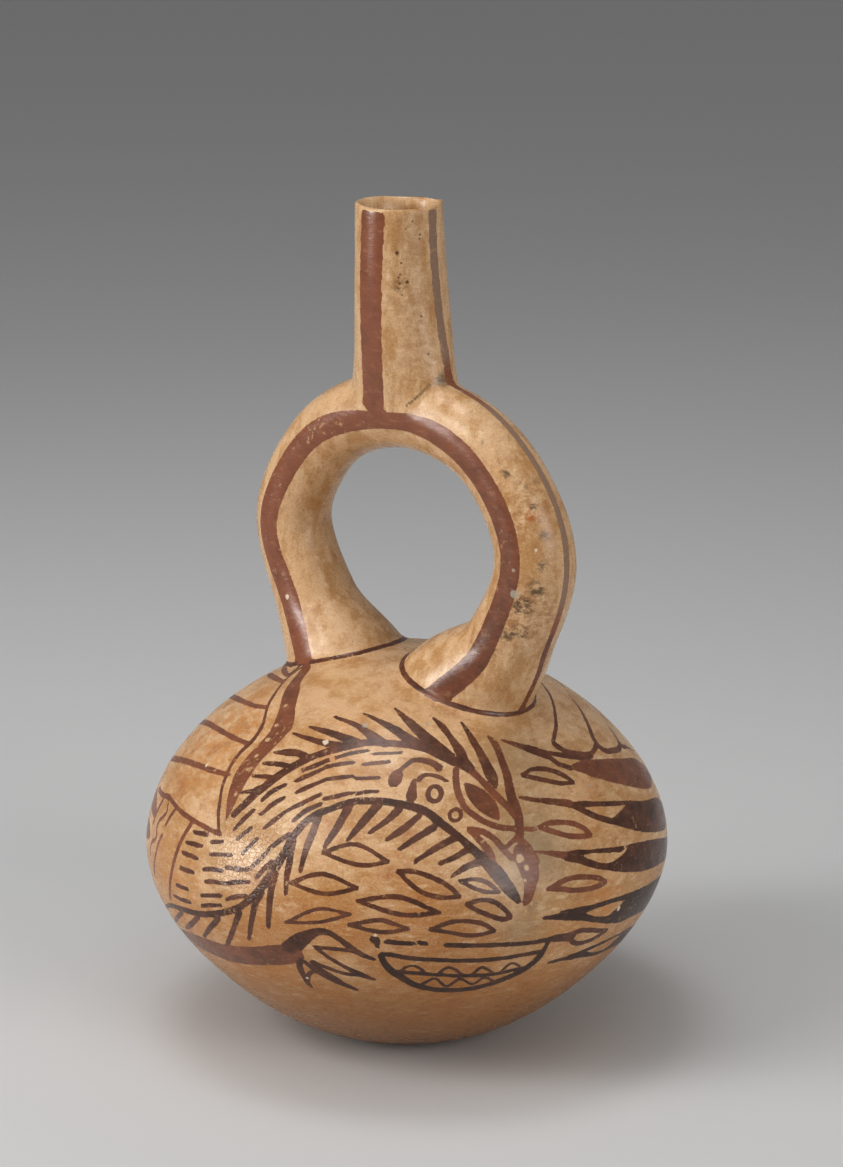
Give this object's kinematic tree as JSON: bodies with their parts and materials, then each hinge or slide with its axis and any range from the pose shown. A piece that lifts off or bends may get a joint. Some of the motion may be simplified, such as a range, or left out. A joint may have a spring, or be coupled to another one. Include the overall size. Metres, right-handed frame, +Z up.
{
  "type": "stirrup spout vessel",
  "caption": "Hollow fired-clay bottle: round body on a small flat base, ring-shaped stirrup handle opening into the body and one upright spout on its crown, painted in brown slip.",
  "frame": {"origin": "centre of the flat base that the vessel stands on, on the axis of its round body", "axes": "+Z up through the body and the spout, +X along the stirrup towards its slightly larger leg, -Y towards the side with the painted bird that the picture shows"},
  "size_m": [0.1726, 0.1726, 0.2746],
  "materials": {
    "clay": "burnished cream to orange clay with painted brown slip"
  },
  "bodies": {
    "root": {"vessel": "clay"}
  },
  "joints": []
}
